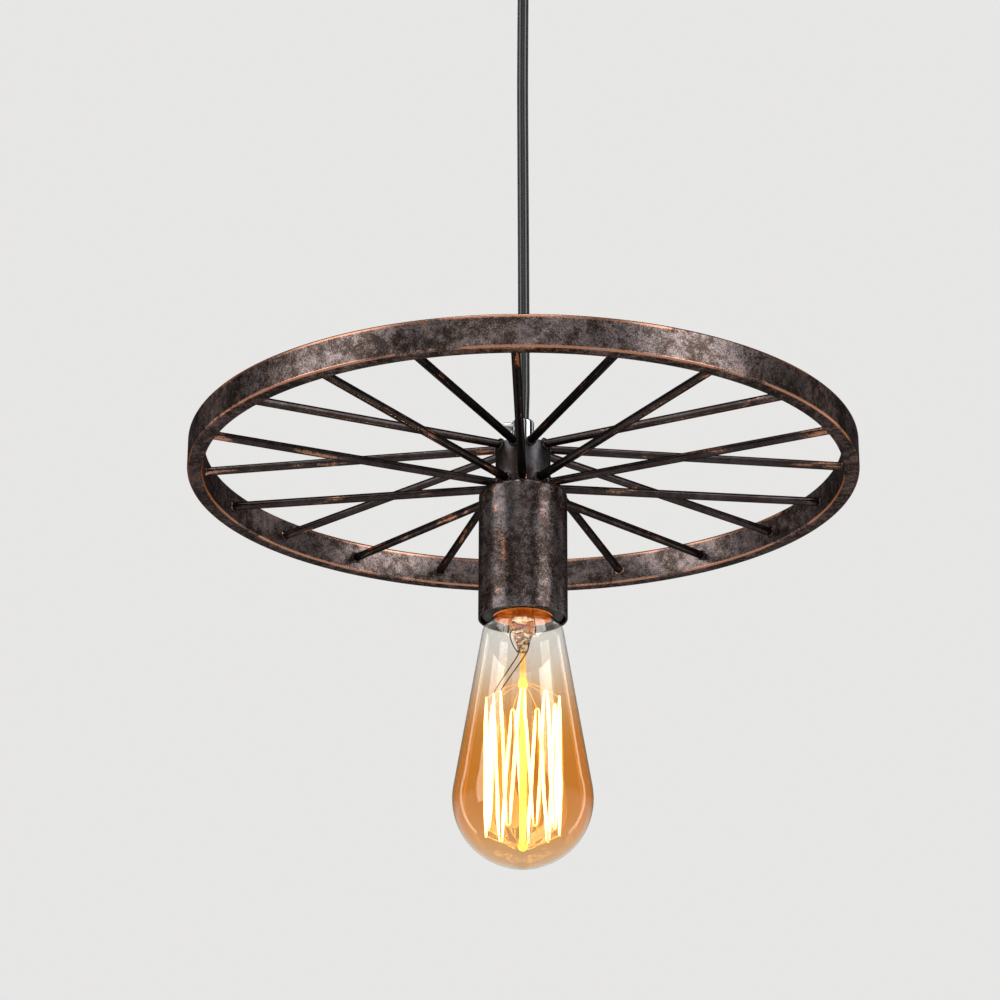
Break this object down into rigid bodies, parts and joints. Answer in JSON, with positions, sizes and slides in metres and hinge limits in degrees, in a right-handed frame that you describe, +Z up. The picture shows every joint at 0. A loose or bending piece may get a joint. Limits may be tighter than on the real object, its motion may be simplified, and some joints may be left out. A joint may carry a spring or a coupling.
{
  "type": "pendant lamp",
  "caption": "Pendant lamp with a flat spoked iron wheel, a lamp cup and a squirrel-cage bulb, hung on a black cord from a round ceiling canopy.",
  "frame": {"origin": "centre of the canopy's and bracket's ceiling face, on the lamp's vertical axis", "axes": "+Z up towards the ceiling, the lamp hangs along -Z; +X along the ceiling bracket, with a spoke on each axis; the camera of the picture looks along +Y"},
  "size_m": [0.315, 0.315, 0.503],
  "materials": {
    "canopy_iron": "antique rust and dark bronze paint, satin",
    "rim_iron": "antique rust and dark bronze paint, worn copper at the edges",
    "spoke_iron": "antique rust and dark bronze paint, worn",
    "hub_iron": "antique rust and dark bronze paint, worn",
    "cup_iron": "antique rust and dark bronze paint, satin",
    "bracket_steel": "zinc plated, dull",
    "zinc_steel": "zinc plated",
    "bright_chrome": "bright chrome plate",
    "block_nylon": "natural nylon",
    "cord_pvc": "smooth black PVC sheath",
    "live_insulation": "brown PVC",
    "neutral_insulation": "blue PVC",
    "holder_black": "black moulded plastic",
    "holder_ceramic": "unglazed porcelain",
    "holder_brass": "plain brass",
    "cap_metal": "plated brass",
    "cap_glass": "black glass",
    "amber_glass": "clear glass with an amber tint",
    "stem_glass": "clear glass",
    "support_wire": "drawn molybdenum and nickel wire",
    "filament": "glowing carbon thread"
  },
  "bodies": {
    "canopy": {"ceiling_bracket": "bracket_steel", "canopy": "canopy_iron", "canopy_screws": "bright_chrome", "terminal_block": "block_nylon", "terminal_screws": "zinc_steel", "block_screw": "zinc_steel", "live_wire": "live_insulation", "neutral_wire": "neutral_insulation", "cord_tail": "cord_pvc", "canopy_gland": "bright_chrome", "canopy_gland_nut": "zinc_steel", "canopy_gland_screw": "bright_chrome"},
    "cord_bend": {"cord_bend": "cord_pvc"},
    "cord": {"cord": "cord_pvc"},
    "lamp": {"lamp_gland": "bright_chrome", "lamp_gland_screw": "bright_chrome", "hub": "hub_iron", "rim": "rim_iron", "threaded_tube": "zinc_steel", "cup": "cup_iron", "toothed_washer": "zinc_steel", "hub_nut": "zinc_steel", "socket_cap": "holder_black", "socket_insert": "holder_ceramic", "socket_terminals": "holder_brass", "socket_terminal_screws": "zinc_steel", "socket_contact": "holder_brass", "socket_shell": "holder_brass", "socket_skirt": "holder_black", "lamp_live_wire": "live_insulation", "lamp_neutral_wire": "neutral_insulation", "spoke_01": "spoke_iron", "spoke_02": "spoke_iron", "spoke_03": "spoke_iron", "spoke_04": "spoke_iron", "spoke_05": "spoke_iron", "spoke_06": "spoke_iron", "spoke_07": "spoke_iron", "spoke_08": "spoke_iron", "spoke_09": "spoke_iron", "spoke_10": "spoke_iron", "spoke_11": "spoke_iron", "spoke_12": "spoke_iron", "spoke_13": "spoke_iron", "spoke_14": "spoke_iron", "spoke_15": "spoke_iron", "spoke_16": "spoke_iron", "spoke_17": "spoke_iron", "spoke_18": "spoke_iron", "spoke_19": "spoke_iron", "spoke_20": "spoke_iron"},
    "bulb_carrier": {"bulb_contact": "cap_metal"},
    "bulb": {"bulb_cap": "cap_metal", "bulb_insulator": "cap_glass", "bulb_glass": "amber_glass", "bulb_stem": "stem_glass", "bulb_supports": "support_wire", "bulb_filament": "filament", "bulb_lead_wires": "support_wire"}
  },
  "joints": [
    {"name": "swing_fore_aft", "type": "hinge", "parent": "canopy", "child": "cord_bend", "pos_m": [0, 0, -0.036], "axis": [1, 0, 0], "range_deg": [-20, 20]},
    {"name": "swing_side", "type": "hinge", "parent": "cord_bend", "child": "cord", "pos_m": [0, 0, -0.036], "axis": [0, 1, 0], "range_deg": [-20, 20]},
    {"name": "lamp_twist", "type": "hinge", "parent": "cord", "child": "lamp", "pos_m": [0, 0, -0.3], "axis": [0, 0, 1], "range_deg": [-170, 170]},
    {"name": "bulb_out", "type": "slide", "parent": "lamp", "child": "bulb_carrier", "axis": [0, 0, -1], "range_m": [0, 0.0251]},
    {"name": "bulb_turn", "type": "hinge", "parent": "bulb_carrier", "child": "bulb", "pos_m": [0, 0, -0.36], "axis": [0, 0, -1], "range_deg": [0, 2480]}
  ],
  "couplings": [
    {"joint": "bulb_out", "follows": "bulb_turn", "m_per_rad": 0.00057757}
  ]
}
